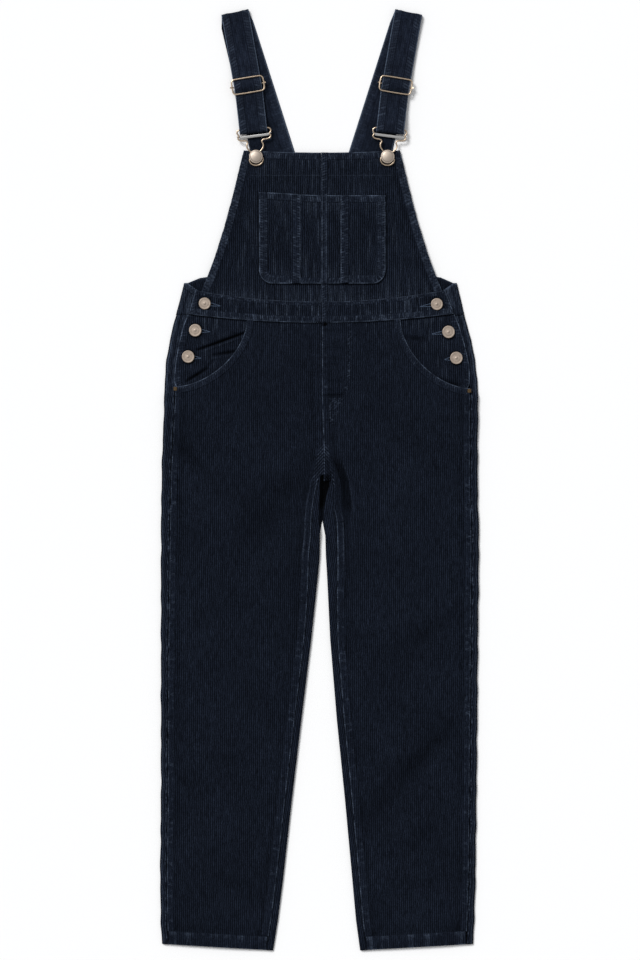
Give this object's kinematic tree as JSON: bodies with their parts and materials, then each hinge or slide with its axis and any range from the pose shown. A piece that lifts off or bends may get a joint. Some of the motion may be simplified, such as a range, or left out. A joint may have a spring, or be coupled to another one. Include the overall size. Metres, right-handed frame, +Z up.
{
  "type": "bib overalls",
  "caption": "Corduroy bib overalls laid flat front up, with straps hooked to bib buttons, a bib pocket, scooped hip pockets and buttoned side openings.",
  "frame": {"origin": "middle of the garment's box as it lies, at the level of the surface it lies on", "axes": "+X to the right-hand side as seen from above, +Y from the hems to the shoulders, +Z up, away from the surface"},
  "size_m": [0.4396, 1.2979, 0.011],
  "materials": {
    "corduroy": "dark navy cotton corduroy, about 9 wales to the inch, cut pile, matt",
    "antique_brass": "bent wire, light antique brass plating, satin",
    "nickel": "pressed flat bar, nickel plated, brushed",
    "button_bronze": "pressed button head, pale antique bronze plating, satin"
  },
  "bodies": {
    "root": {"back_leg_left": "corduroy", "back_leg_right": "corduroy", "front_leg_left": "corduroy", "front_leg_right": "corduroy", "hip_panel_left": "corduroy", "hip_panel_right": "corduroy", "back_waistband": "corduroy", "front_waistband_left": "corduroy", "front_waistband_right": "corduroy", "back_bib": "corduroy", "bib_left": "corduroy", "bib_right": "corduroy", "bib_pocket_left": "corduroy", "bib_pocket_middle": "corduroy", "bib_pocket_right": "corduroy", "strap_left": "corduroy", "strap_right": "corduroy", "buckle_wire_left": "antique_brass", "buckle_wire_right": "antique_brass", "buckle_bar_left": "nickel", "buckle_bar_right": "nickel", "slider_ring_left": "antique_brass", "slider_ring_right": "antique_brass", "slider_bar_left": "antique_brass", "slider_bar_right": "antique_brass", "bib_button_left": "button_bronze", "bib_button_right": "button_bronze", "side_button_left_1": "button_bronze", "side_button_left_2": "button_bronze", "side_button_left_3": "button_bronze", "side_button_right_1": "button_bronze", "side_button_right_2": "button_bronze", "side_button_right_3": "button_bronze"}
  },
  "joints": []
}
